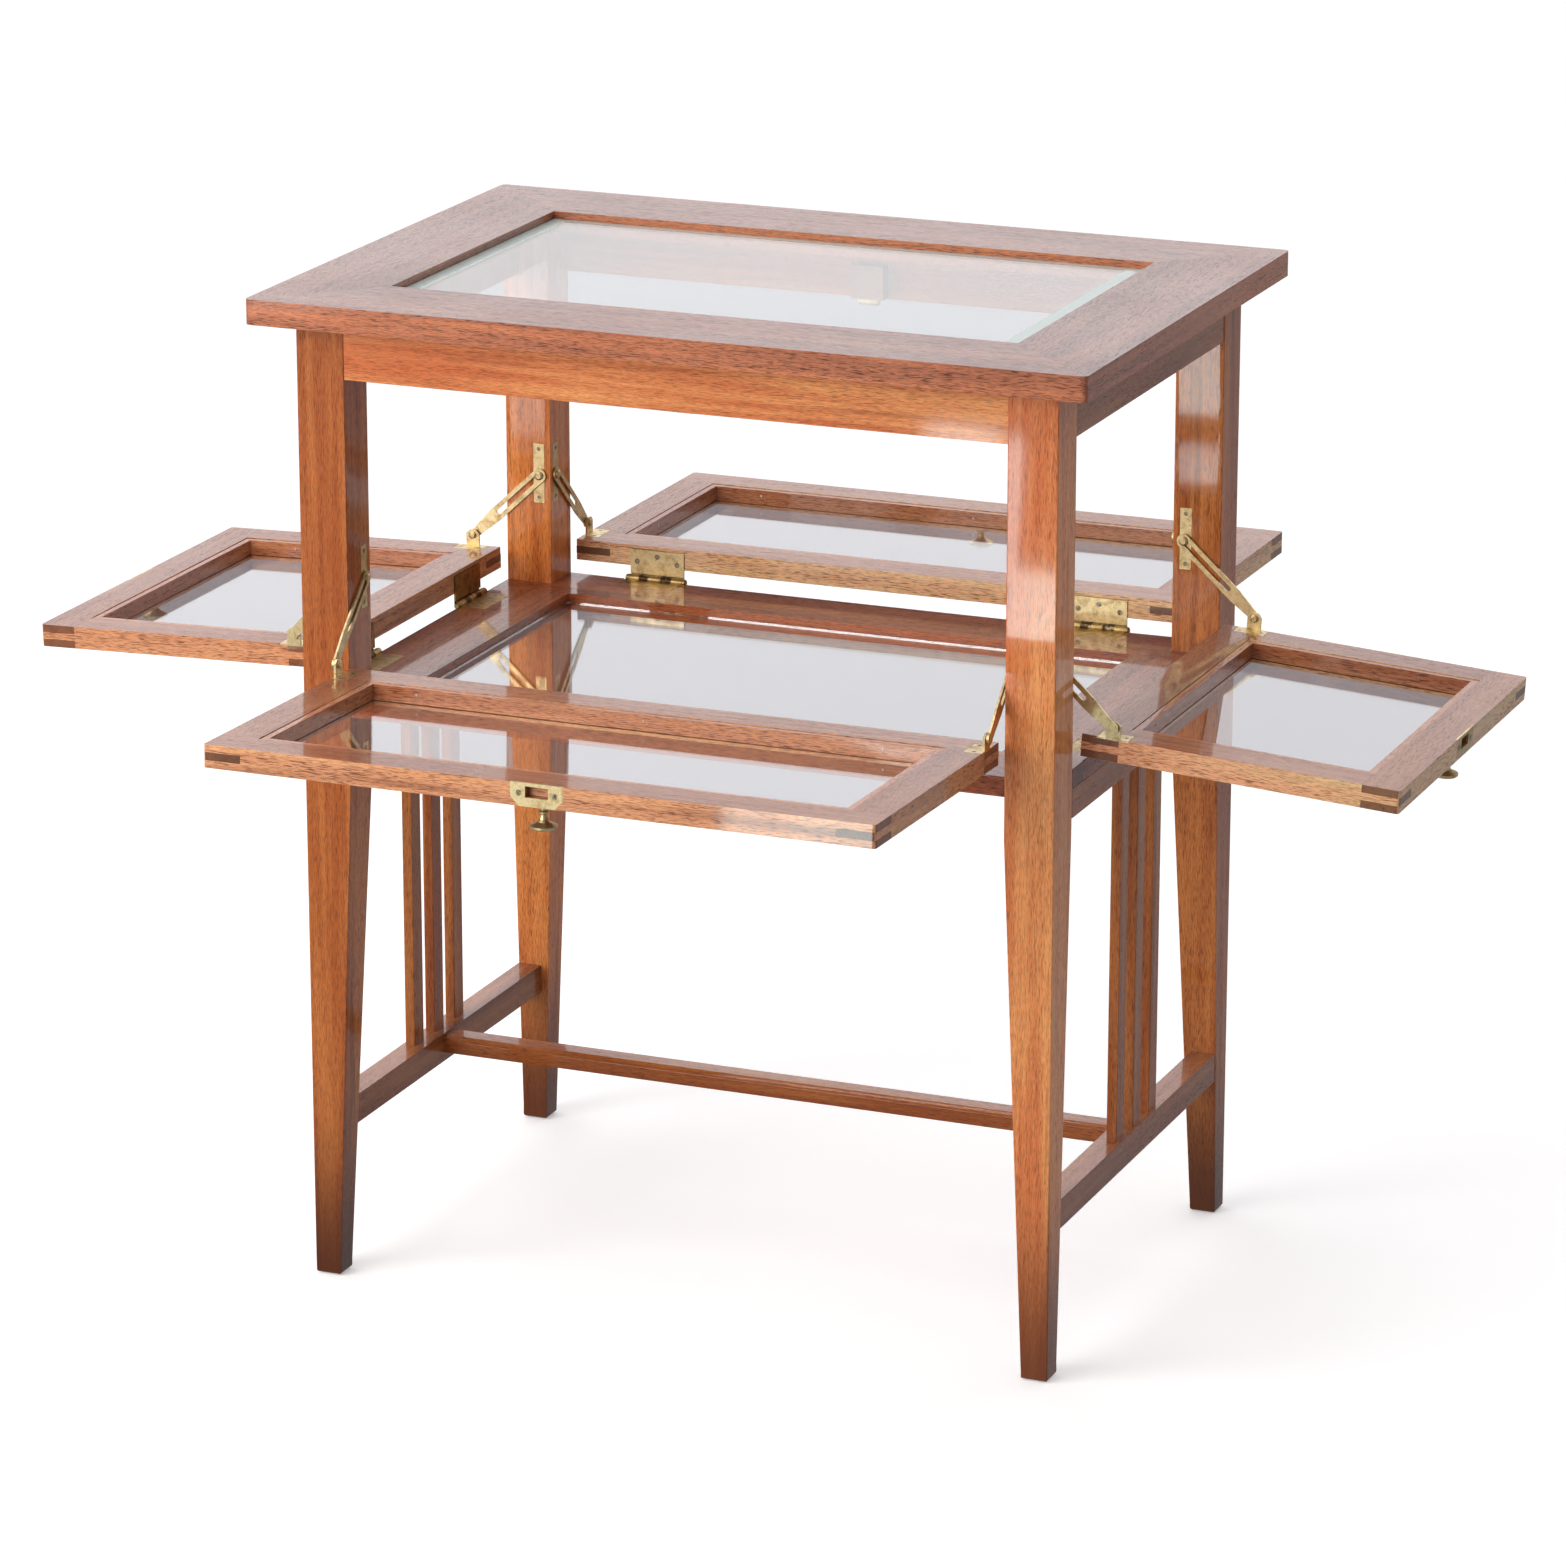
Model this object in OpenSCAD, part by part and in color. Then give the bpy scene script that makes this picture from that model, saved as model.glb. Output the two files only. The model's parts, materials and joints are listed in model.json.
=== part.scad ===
// Glazed display table: a glazed top and a glazed shelf on four tapered legs, with four glazed
// flaps that are hinged along the shelf and held level by slotted brass stays.
// Millimetres. The origin is on the floor under the middle of the table. +X runs along the long
// side to the right, -Y to the front and +Z up.

/* [Top] */
// Height of the top's upper face above the floor
case_h = 760; // [755:1:775]
// Length of the top
top_len = 650; // [640:1:670]
// Width of the top
top_wid = 450; // [440:1:470]
// Thickness of the top's mitred rails
top_t = 19; // [17:1:22]
// Face width of the top's rails
top_rail_w = 80; // [70:1:84]
// Depth of the glass below the top's face
top_glass_sink = 4; // [2:0.5:6]
// Thickness of the top's plate glass
top_glass_t = 5; // [4:0.5:6]
// Width of the ground bevel round the top's glass
glass_bevel_w = 16; // [8:1:24]
// Radius of the top's corners
top_corner_r = 4.5; // [2:0.5:8]

/* [Legs] */
// Length over the legs' outer faces
frame_len = 592; // [580:2:604]
// Width over the legs' outer faces
frame_wid = 400; // [390:2:410]
// Section of a leg above its taper
leg_w = 38; // [36:1:42]
// Section of a leg at the floor
foot_w = 20.5; // [16:0.5:26]
// Height where the taper starts
taper_z = 410; // [380:5:418]

/* [Aprons and stretchers] */
// Height of the upper aprons' lower edge
apron_z = 700; // [699:0.5:702]
// Thickness of the upper aprons
apron_t = 12; // [10:0.5:12]
// How far the upper aprons stand back from the legs' faces
apron_back = 0.8; // [0:0.1:2]
// Height of the end aprons' lower edge
end_apron_z = 420; // [418:1:430]
// Thickness of the end aprons
end_apron_t = 18; // [16:1:20]
// Height of the end stretchers' lower edge
stretcher_z = 111; // [90:1:140]
// Depth of the end stretchers
stretcher_h = 23; // [18:1:30]
// Width of the end stretchers
stretcher_w = 19; // [16:1:20]
// Width of the middle stretcher
middle_w = 18.5; // [14:0.5:24]
// Depth of the middle stretcher
middle_h = 13.5; // [10:0.5:16]
// Slats at each end
slat_count = 3; // [1:1:5]
// Distance between neighbouring slats
slat_pitch = 36.4; // [24:0.1:40]
// Section of a slat across and along the end
slat_size = [8, 16]; // [4:1:16]

/* [Shelf] */
// Height of the shelf's upper face
shelf_z = 457; // [456:0.5:458]
// Thickness of the shelf's rails
shelf_t = 15; // [13:0.5:18]
// Width of the shelf's front and back rails, from the legs' outer faces
shelf_rail_w = 60; // [52:1:70]
// Width of the shelf's end rails, from the legs' outer faces
shelf_end_w = 62; // [52:1:80]
// How far the shelf's front and back edges stand back from the legs' faces
shelf_back = 1; // [0:0.1:2]
// Depth of the shelf's glass below its face
shelf_glass_sink = 6.5; // [4:0.5:8]
// Thickness of the shelf's glass
shelf_glass_t = 4; // [3:0.5:5]

/* [Flaps] */
// Gap between a flap's side edge and the leg
jamb_gap = 3; // [3:0.1:4]
// Height of a flap, from its hinge edge to its free edge
flap_h = 237.5; // [234:0.5:237.5]
// Thickness of a flap
flap_t = 17; // [16:0.5:18]
// Face width of the long flaps' rails and stiles
long_face_w = 29; // [26:0.5:32]
// Face width of the short flaps' rails and stiles
short_face_w = 28; // [26:0.5:32]
// Droop of the open front flap below level, in degrees
front_droop = -1.45; // [-2:0.05:4]
// Droop of the open back flap
back_droop = 0.15; // [-2:0.05:4]
// Droop of the open right flap
right_droop = 3.9; // [-2:0.05:4]
// Droop of the open left flap
left_droop = 1.8; // [-2:0.05:4]

/* [Hinges] */
// Length of a hinge leaf
leaf_len = 45.7; // [40:0.1:52]
// Width of a leaf from the pin's axis
leaf_w = 23; // [20:0.5:24]
// Thickness of a leaf
leaf_t = 1.5; // [1:0.1:2]
// Outer radius of the knuckles
knuckle_r = 3; // [2.6:0.1:3.2]
// Radius of the hinge pins
pin_r = 1.5; // [1.2:0.1:1.8]
// Distance of the long flaps' hinges from the middle
long_hinge_v = 185; // [150:1:200]
// Distance of the short flaps' hinges from the middle
short_hinge_v = 95; // [70:1:110]

/* [Stays] */
// Flap pivot of a stay with the flap level: outward and up from the hinge axis
stay_pivot = [26, 34.3]; // [20:0.1:40]
// Guide pin of a stay: outward and up from the hinge axis
stay_pin = [-30, 86.5]; // [-32:0.1:90]
// Width of a stay arm at its slot
arm_w = 11; // [9:0.5:12]
// Thickness of a stay arm
arm_t = 1.5; // [1.2:0.1:1.5]
// Distance from the flap pivot to the near end of the slot
slot_start = 28; // [26:0.5:32]
// Radius of the guide pin's shank
guide_r = 1.95; // [1.5:0.05:2]

/* [Knobs and catches] */
// Largest diameter of a pull knob
knob_d = 19.5; // [18:0.5:24]
// Length of a pull knob
knob_len = 19.5; // [19:0.5:24]
// Distance of a knob from the flap's free edge
knob_in = 12.5; // [12:0.5:16]
// Length of a strike plate
strike_len = 40; // [36:0.5:46]
// How far a catch bolt stands out below the apron
bolt_out = 4.5; // [3.5:0.1:5]
// Offset of the long flaps' catches along X
long_catch_x = 3; // [0:0.5:6]

/* [Hidden] */
$fn = 48;

// Sides of the table, each with the turn that takes a flap's own frame to it. In a flap's own frame
// X runs along the hinge, Y outward and Z up, from the middle of the hinge axis.
FRONT = 0;
BACK = 1;
RIGHT = 2;
LEFT = 3;
SIDES = [FRONT, BACK, RIGHT, LEFT];
side_turn = [180, 0, -90, 90];
droop = [front_droop, back_droop, right_droop, left_droop];

// Joint lines between pieces of one node, clearance round let-in plates, and round pins
joint_gap = 0.12;
bed_gap = 0.3;
run_gap = 0.05;
cut = 1;

top_z = case_h - top_t;
hinge_out = 1;
hinge_z = shelf_z + 0.5;
flap_in = 2.8;
flap_low = 9.1;
flap_high = flap_low + flap_t;
flap_end = flap_in + flap_h;
rebate_w = 6;
rebate_lip = 2.5;
flap_glass_t = 2;
bead_w = 5.5;
bead_drop = 0.5;
flap_corner_r = 2.5;

leaf_let_in = 0.6;
leaf_u = flap_in + leaf_let_in - leaf_t;
knuckles = 5;
knuckle_len = leaf_len / knuckles;
pin_head_len = 3;
hinge_screw_v = [-17, 0, 17];
hinge_screw_u = [13.2, 18, 13.2];

arm_off = 0.6;
lug_t = 1.5;
lug_w = 11;
lug_h = 12.5;
lug_chamfer = 3;
base_u = [14, 38];
base_w = 14;
base_t = 1.2;
base_screws = [[17.8, 9], [34.2, 7]];
eye_r = 4.25;
guide_head_r = 3.5;
plate_len = 48;
plate_w = 9.3;
plate_t = 1.5;
plate_in = 28;
plate_z = shelf_z + 88.5;
plate_screw_dz = 19.5;

strike_t = 1.5;
strike_window = [17.5, 8];
strike_window_in = 2.4;
strike_chamfer = 6.5;
strike_pocket = 6;
strike_screw_v = 13.7;
strike_screw_in = 7.5;
bolt_size = [16, 6];
bolt_len = 24;
catch_case = [26, 11.2, 26];
catch_wall = 1.2;
catch_lug = 7;

tenon_len = 14;
lip_w = 4.5;
screw_r = 2.2;
small_screw_r = 1.7;

function is_long(s) = s == FRONT || s == BACK;
function jamb_v(s) = (is_long(s) ? frame_len : frame_wid) / 2 - leg_w;
function flap_v(s) = jamb_v(s) - jamb_gap;
function face_w(s) = is_long(s) ? long_face_w : short_face_w;
function hinge_v(s) = is_long(s) ? long_hinge_v : short_hinge_v;
function hinge_u(s) = (is_long(s) ? frame_wid : frame_len) / 2 + hinge_out;
function catch_v(s) = s == FRONT ? -long_catch_x : s == BACK ? long_catch_x : 0;
function turned(p, a) = [p[0] * cos(a) + p[1] * sin(a), p[1] * cos(a) - p[0] * sin(a)];
function pivot_at(s) = turned(stay_pivot, droop[s]);
function stay_run(s) = stay_pin - pivot_at(s);
function stay_reach(s) = norm(stay_run(s));
function stay_angle(s) = atan2(stay_run(s)[1], stay_run(s)[0]);

// A box between two opposite corners
module span(low, high) {
    translate(low) cube(high - low);
}

module at_hinge(s) {
    rotate([0, 0, side_turn[s]]) translate([0, hinge_u(s), hinge_z]) children();
}

module on_flap(s) {
    at_hinge(s) rotate([-droop[s], 0, 0]) children();
}

module both_ends() {
    children();
    mirror([1, 0, 0]) children();
}

module each_hinge(s) {
    for (v = [-hinge_v(s), hinge_v(s)]) translate([v, 0, 0]) children();
}

// A cylinder along X between two stations
module rod_x(x0, x1, r) {
    translate([x0, 0, 0]) rotate([0, 90, 0]) cylinder(r = r, h = x1 - x0);
}

// A countersunk slotted wood screw with its head's face at the origin, driven towards -Z
module screw(r, slot_turn) {
    head = r * 0.55;
    difference() {
        union() {
            translate([0, 0, -head]) cylinder(r1 = r * 0.5, r2 = r, h = head);
            translate([0, 0, -3 * r]) cylinder(r = r * 0.5, h = 3 * r - head / 2);
        }
        rotate([0, 0, slot_turn]) translate([-r - cut, -0.25, -0.5]) cube([2 * (r + cut), 0.5, cut]);
    }
}

// What a screw takes out of the plate and the wood
module screw_hole(r) {
    head = r * 0.55;
    translate([0, 0, -head]) cylinder(r1 = r * 0.5, r2 = r, h = head);
    translate([0, 0, -3 * r]) cylinder(r = r * 0.5, h = 3 * r - head / 2);
}

// One mitred frame side: a trapezium along X, its outer edge at y = -half[1]
module mitre_side(half, w, z0, z1) {
    g = joint_gap / 2;
    translate([0, 0, z0]) linear_extrude(z1 - z0) polygon([
        [g - half[0], -half[1]],
        [half[0] - g, -half[1]],
        [half[0] - w - g, w - half[1]],
        [g + w - half[0], w - half[1]]
    ]);
}

// Four mitred sides of a rectangular ring; the child draws one side for the half size it is given
module four_sides(half) {
    for (turn = [0, 180]) rotate([0, 0, turn]) {
        $half = half;
        children();
    }
    for (turn = [90, 270]) rotate([0, 0, turn]) {
        $half = [half[1], half[0]];
        children();
    }
}

// A flat pane with a ground bevel along its four upper edges
module bevelled_pane(half, t, bevel_w, bevel_drop) {
    intersection() {
        rotate([90, 0, 0]) linear_extrude(2 * half[1], center = true)
            pane_profile(half[0], t, bevel_w, bevel_drop);
        rotate([90, 0, 90]) linear_extrude(2 * half[0], center = true)
            pane_profile(half[1], t, bevel_w, bevel_drop);
    }
}

module pane_profile(a, t, bevel_w, bevel_drop) {
    polygon([[-a, 0], [a, 0], [a, t - bevel_drop], [a - bevel_w, t], [bevel_w - a, t], [-a, t - bevel_drop]]);
}

// ---- Top ----

module top_outline() {
    a = top_len / 2;
    b = top_wid / 2;
    r = top_corner_r;
    square([2 * a - 2 * r, 2 * b], center = true);
    square([2 * a, 2 * b - 2 * r], center = true);
    for (x = [r - a, a - r], y = [r - b, b - r]) translate([x, y]) circle(r);
}

module top_frame() {
    glass_z = case_h - top_glass_sink - top_glass_t;
    color("sienna") intersection() {
        four_sides([top_len / 2, top_wid / 2]) {
            mitre_side($half, top_rail_w, top_z, case_h);
            mitre_side($half, top_rail_w + lip_w, top_z, glass_z);
        }
        translate([0, 0, top_z - cut]) linear_extrude(top_t + 2 * cut) top_outline();
    }
}

module top_glass() {
    slack = 0.5;
    half = [top_len / 2 - top_rail_w - slack, top_wid / 2 - top_rail_w - slack];
    color("lightcyan", 0.35) translate([0, 0, case_h - top_glass_sink - top_glass_t])
        bevelled_pane(half, top_glass_t, glass_bevel_w, 1.6);
}

// ---- Legs ----

// One leg with its outer corner at the origin, its body towards +X and +Y
module leg_blank() {
    ease = 2;
    profile = [
        [ease, 0], [foot_w - ease, 0], [foot_w, ease], [leg_w, taper_z], [leg_w, top_z], [0, top_z], [0, ease]
    ];
    intersection() {
        translate([0, leg_w, 0]) rotate([90, 0, 0]) linear_extrude(leg_w) polygon(profile);
        rotate([90, 0, 90]) linear_extrude(leg_w) polygon(profile);
    }
}

module at_leg(sx, sy) {
    translate([sx * frame_len / 2, sy * frame_wid / 2, 0])
        mirror([sx > 0 ? 1 : 0, 0, 0]) mirror([0, sy > 0 ? 1 : 0, 0]) children();
}

module leg(sx, sy) {
    color("peru") difference() {
        at_leg(sx, sy) leg_blank();
        upper_apron_tenons();
        end_apron_tenons();
        end_stretcher_tenons();
        stay_plate_beds();
    }
}

// ---- Upper aprons ----

// In an apron's own frame X runs along it and Y outward; u is its outer face
module apron_place(s) {
    rotate([0, 0, side_turn[s]])
        translate([0, (is_long(s) ? frame_wid : frame_len) / 2 - apron_back - apron_t, 0]) children();
}

module upper_apron_tenons() {
    for (s = SIDES) apron_place(s) both_ends()
        span([jamb_v(s), 3, apron_z + 6], [jamb_v(s) + tenon_len, apron_t - 3, top_z - 6]);
}

module upper_aprons() {
    color("peru") {
        difference() {
            for (s = SIDES) apron_place(s) span([-jamb_v(s), 0, apron_z], [jamb_v(s), apron_t, top_z]);
            for (s = SIDES) catch_screws_place(s) screw_hole(small_screw_r);
        }
        upper_apron_tenons();
    }
}

// ---- Shelf ----

module shelf_notches() {
    for (sx = [-1, 1], sy = [-1, 1]) at_leg(sx, sy) translate([-cut, -cut, shelf_z - shelf_t - cut])
        cube([leg_w + cut, leg_w + cut, shelf_t + 2 * cut]);
}

module shelf_frame() {
    a = frame_len / 2;
    b = frame_wid / 2 - shelf_back;
    low = shelf_z - shelf_t;
    glass_low = shelf_z - shelf_glass_sink - shelf_glass_t;
    rail_in = frame_wid / 2 - shelf_rail_w;
    end_in = a - shelf_end_w;
    lip_end = joint_gap - end_in;
    color("sienna") difference() {
        union() {
            for (turn = [0, 180]) rotate([0, 0, turn]) {
                span([-a, -b, low], [a, -rail_in, shelf_z]);
                span([lip_end, -rail_in - joint_gap, low], [-lip_end, lip_w - rail_in, glass_low]);
                span([end_in, joint_gap - rail_in, low], [a, rail_in - joint_gap, shelf_z]);
                span(
                    [end_in - lip_w, lip_w - rail_in + joint_gap, low],
                    [a, rail_in - lip_w - joint_gap, glass_low]
                );
            }
        }
        shelf_notches();
        for (s = SIDES) at_hinge(s) each_hinge(s) {
            case_leaf_bed();
            hinge_screws_in_shelf() screw_hole(screw_r);
        }
    }
}

module shelf_glass() {
    slack = 0.5;
    x = frame_len / 2 - shelf_end_w - slack;
    y = frame_wid / 2 - shelf_rail_w - slack;
    z = shelf_z - shelf_glass_sink;
    color("lightcyan", 0.35) span([-x, -y, z - shelf_glass_t], [x, y, z]);
}

// ---- Base ----

module end_apron_tenons() {
    x = frame_len / 2 - end_apron_t / 2;
    y = frame_wid / 2 - leg_w;
    for (sx = [-1, 1], sy = [-1, 1]) scale([sx, sy, 1])
        span([x - 4, y, end_apron_z + 4], [x + 4, y + tenon_len, shelf_z - shelf_t - 4]);
}

module end_aprons() {
    x = frame_len / 2;
    y = frame_wid / 2 - leg_w;
    color("peru") {
        difference() {
            for (sx = [0, 1]) mirror([sx, 0, 0])
                span([x - end_apron_t, -y, end_apron_z], [x, y, shelf_z - shelf_t]);
            slats_raw();
        }
        end_apron_tenons();
    }
}

module end_stretcher_tenons() {
    x = frame_len / 2 - 0.5 - stretcher_w / 2;
    y = frame_wid / 2 - 30;
    for (sx = [-1, 1], sy = [-1, 1]) scale([sx, sy, 1])
        span([x - 4.5, y, stretcher_z + 4], [x + 4.5, y + 18, stretcher_z + stretcher_h - 4]);
}

// The middle stretcher, grown all round by grow for the housing that takes its end
module middle_stretcher_raw(reach, grow) {
    bevel = 3.5;
    low = stretcher_z + stretcher_h - 2 - middle_h - grow;
    high = low + middle_h + 2 * grow;
    y = middle_w / 2 + grow;
    rotate([90, 0, 90]) translate([0, 0, -reach]) linear_extrude(2 * reach)
        polygon([[-y, low], [y, low], [y, high], [bevel - y, high], [-y, high - bevel]]);
}

module stretchers() {
    x = frame_len / 2 - 0.5 - stretcher_w;
    housing = 7;
    color("peru") {
        difference() {
            for (sx = [0, 1]) mirror([sx, 0, 0])
                span(
                    [x, -frame_wid / 2 + 2, stretcher_z],
                    [x + stretcher_w, frame_wid / 2 - 2, stretcher_z + stretcher_h]
                );
            for (sx = [-1, 1], sy = [-1, 1]) at_leg(sx, sy) leg_blank();
            middle_stretcher_raw(x + housing, joint_gap);
            slats_raw();
        }
        end_stretcher_tenons();
        middle_stretcher_raw(x + housing - joint_gap, 0);
    }
}

module slats_raw() {
    into = 6;
    x = frame_len / 2 - 7.5;
    for (sx = [-1, 1], i = [0 : slat_count - 1]) {
        y = (i - (slat_count - 1) / 2) * slat_pitch;
        translate([sx * x, y, 0]) span(
            [-slat_size[0] / 2, -slat_size[1] / 2, stretcher_z + stretcher_h - into],
            [slat_size[0] / 2, slat_size[1] / 2, end_apron_z + into]
        );
    }
}

module slats() {
    color("peru") slats_raw();
}

// ---- Hinges ----

// Knuckles first, first + 2 and so on, counted from 0
module hinge_knuckles(first) {
    for (k = [first : 2 : knuckles - 1]) {
        x = k * knuckle_len - leaf_len / 2;
        rod_x(x + joint_gap / 2, x + knuckle_len - joint_gap / 2, knuckle_r);
    }
}

// Room in a leaf for the other leaf's knuckles, which start at first
module knuckle_room(first) {
    clear = knuckle_r + 0.3;
    for (k = [first : 2 : knuckles - 1]) {
        x = k * knuckle_len - leaf_len / 2;
        span([x, -clear, -clear], [x + knuckle_len, clear, clear]);
    }
}

module hinge_screws_in_shelf() {
    for (i = [0 : 2]) translate([hinge_screw_v[i], -hinge_screw_u[i], shelf_z - hinge_z]) children();
}

module hinge_screws_in_flap() {
    for (i = [0 : 2]) translate([hinge_screw_v[i], leaf_u, hinge_screw_u[i]]) rotate([90, 0, 0]) children();
}

// The leaf, let into the shelf's face
module case_leaf() {
    face = shelf_z - hinge_z;
    difference() {
        union() {
            span([-leaf_len / 2, -leaf_w, face - leaf_t], [leaf_len / 2, 0, face]);
            hinge_knuckles(0);
        }
        knuckle_room(1);
        rod_x(-leaf_len, leaf_len, pin_r);
        hinge_screws_in_shelf() screw_hole(screw_r);
    }
}

module case_leaf_bed() {
    face = shelf_z - hinge_z;
    room = knuckle_r + 0.4;
    half = leaf_len / 2;
    span([-half - bed_gap, -leaf_w - bed_gap, face - leaf_t], [half + bed_gap, 0, face + cut]);
    span([-half - pin_head_len - 0.5, -room, -room], [half + pin_head_len + 0.5, 0, face + cut]);
}

module hinge_pin() {
    half = leaf_len / 2;
    head_r = knuckle_r - 0.3;
    rod_x(-half, half, pin_r);
    both_ends() {
        rod_x(half + joint_gap, half + pin_head_len - 1, head_r);
        rod_x(half - joint_gap, half + joint_gap, pin_r);
        translate([half + pin_head_len - 1, 0, 0]) rotate([0, 90, 0])
            cylinder(r1 = head_r, r2 = head_r - 1, h = 1);
    }
}

module case_hinges() {
    color("darkgoldenrod") for (s = SIDES) at_hinge(s) each_hinge(s) {
        case_leaf();
        hinge_pin();
    }
}

// The leaf on the flap's hinge edge, part let in
module flap_leaf() {
    difference() {
        union() {
            span([-leaf_len / 2, leaf_u, 0], [leaf_len / 2, leaf_u + leaf_t, leaf_w]);
            hinge_knuckles(1);
        }
        knuckle_room(0);
        rod_x(-leaf_len, leaf_len, pin_r + run_gap);
        hinge_screws_in_flap() screw_hole(screw_r);
    }
}

module flap_hinge_leaves(s) {
    color("darkgoldenrod") on_flap(s) each_hinge(s) flap_leaf();
}

// ---- Flap frame, beads and glass ----

// The whole frame as one ring, with its glazing rebate on the inner face
module flap_ring(s) {
    v = flap_v(s);
    f = face_w(s);
    lip = f + rebate_w;
    difference() {
        span([-v, flap_in, flap_low], [v, flap_end, flap_high]);
        span([lip - v, flap_in + lip, flap_low - cut], [v - lip, flap_end - lip, flap_high + cut]);
        span([f - v, flap_in + f, flap_low + rebate_lip], [v - f, flap_end - f, flap_high + cut]);
        flap_corner_cuts(s);
        flap_fitting_beds(s);
    }
}

// Rounded corners of the free edge
module flap_corner_cuts(s) {
    r = flap_corner_r;
    v = flap_v(s);
    both_ends() translate([v - r, flap_end - r, flap_low - cut]) difference() {
        cube([r + cut, r + cut, flap_t + 2 * cut]);
        translate([0, 0, -cut]) cylinder(r = r, h = flap_t + 4 * cut);
    }
}

// Rails run the full length and are forked at both ends; the stiles' tongues sit in the forks
module flap_frame(s) {
    v = flap_v(s);
    f = face_w(s);
    lip = f + rebate_w;
    third = flap_t / 3;
    g = joint_gap;
    color("chocolate") on_flap(s) {
        for (far = [0, 1]) intersection() {
            flap_ring(s);
            mirror_u(far) {
                span([f + g - v, flap_in - cut, flap_low - cut], [v - f - g, flap_in + lip, flap_high + cut]);
                for (w = [flap_low - cut, flap_high - third + g / 2])
                    span([-v - cut, flap_in - cut, w], [v + cut, flap_in + f, w + third + cut - g / 2]);
            }
        }
        both_ends() intersection() {
            flap_ring(s);
            union() {
                span([v - f, flap_in + f + g, flap_low - cut], [v + cut, flap_end - f - g, flap_high + cut]);
                span([v - lip, flap_in + lip + g, flap_low - cut], [v - f, flap_end - lip - g, flap_high + cut]);
                span(
                    [v - f, flap_in - cut, flap_low + third + g / 2],
                    [v + cut, flap_end + cut, flap_high - third - g / 2]
                );
            }
        }
    }
}

// Swaps a flap's hinge edge and free edge
module mirror_u(far) {
    if (far == 1) translate([0, flap_in + flap_end, 0]) mirror([0, 1, 0]) children();
    else children();
}

module flap_glass(s) {
    slack = 0.5;
    v = flap_v(s) - face_w(s) - slack;
    u = face_w(s) + slack;
    z = flap_low + rebate_lip;
    color("lightcyan", 0.35) on_flap(s)
        span([-v, flap_in + u, z], [v, flap_end - u, z + flap_glass_t]);
}

module flap_beads(s) {
    slack = 0.15;
    inner = [flap_v(s) - face_w(s) - slack, flap_h / 2 - face_w(s) - slack];
    z = flap_low + rebate_lip + flap_glass_t;
    color("peru") on_flap(s) translate([0, flap_in + flap_h / 2, 0])
        four_sides(inner) mitre_side($half, bead_w, z, flap_high - bead_drop);
}

// Everything that is let into a flap's frame
module flap_fitting_beds(s) {
    window = strike_window;
    each_hinge(s) {
        half = leaf_len / 2 + bed_gap;
        span([-half, flap_in - cut, flap_low - cut], [half, flap_in + leaf_let_in, leaf_w + bed_gap]);
        hinge_screws_in_flap() screw_hole(screw_r);
    }
    stay_bases(s) {
        bracket_base(bed_gap);
        base_screw_places() screw_hole(small_screw_r);
    }
    translate([catch_v(s), 0, 0]) {
        strike_blank(0);
        strike_screw_places() screw_hole(screw_r);
        span(
            [-window[0] / 2, flap_end - strike_t - strike_pocket, flap_high - strike_window_in - window[1]],
            [window[0] / 2, flap_end - strike_t + cut / 2, flap_high - strike_window_in]
        );
        translate([0, flap_end - knob_in, flap_low - cut]) cylinder(r = 1.75, h = 5 + cut);
    }
}

// ---- Stays ----

// Right and left ends of a flap, with X from the flap's side edge inward
module stay_bases(s) {
    both_ends() translate([flap_v(s), 0, 0]) mirror([1, 0, 0]) children();
}

module bracket_base(grow = 0) {
    span([-grow, base_u[0] - grow, flap_high - base_t], [base_w + grow, base_u[1] + grow, flap_high + cut]);
}

module base_screw_places() {
    for (p = base_screws) translate([p[1], p[0], flap_high]) children();
}

module stay_bracket() {
    mid = stay_pivot[0];
    difference() {
        union() {
            span([0, base_u[0], flap_high - base_t], [base_w, base_u[1], flap_high]);
            translate([lug_t, 0, 0]) rotate([90, 0, -90]) mirror([1, 0, 0]) linear_extrude(lug_t) polygon([
                [mid - lug_w / 2, flap_high - base_t / 2],
                [mid + lug_w / 2, flap_high - base_t / 2],
                [mid + lug_w / 2, flap_high + lug_h - lug_chamfer],
                [mid + lug_w / 2 - lug_chamfer, flap_high + lug_h],
                [mid - lug_w / 2 + lug_chamfer, flap_high + lug_h],
                [mid - lug_w / 2, flap_high + lug_h - lug_chamfer]
            ]);
        }
        translate([0, mid, stay_pivot[1]]) rod_x(-cut, lug_t + cut, pin_r);
        base_screw_places() screw_hole(small_screw_r);
    }
}

// The rivet on which the arm turns, fixed in the lug and headed over both
module stay_rivet() {
    end = arm_off - 0.45 - jamb_gap;
    translate([0, stay_pivot[0], stay_pivot[1]]) {
        rod_x(end, lug_t, pin_r);
        rod_x(end, end + 0.4, 2.8);
        rod_x(lug_t, lug_t + 0.8, 3);
        translate([lug_t + 0.8, 0, 0]) rotate([0, 90, 0]) cylinder(r1 = 3, r2 = 1.8, h = 0.6);
    }
}

module stay_brackets(s) {
    color("darkgoldenrod") on_flap(s) stay_bases(s) {
        stay_bracket();
        stay_rivet();
    }
}

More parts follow.
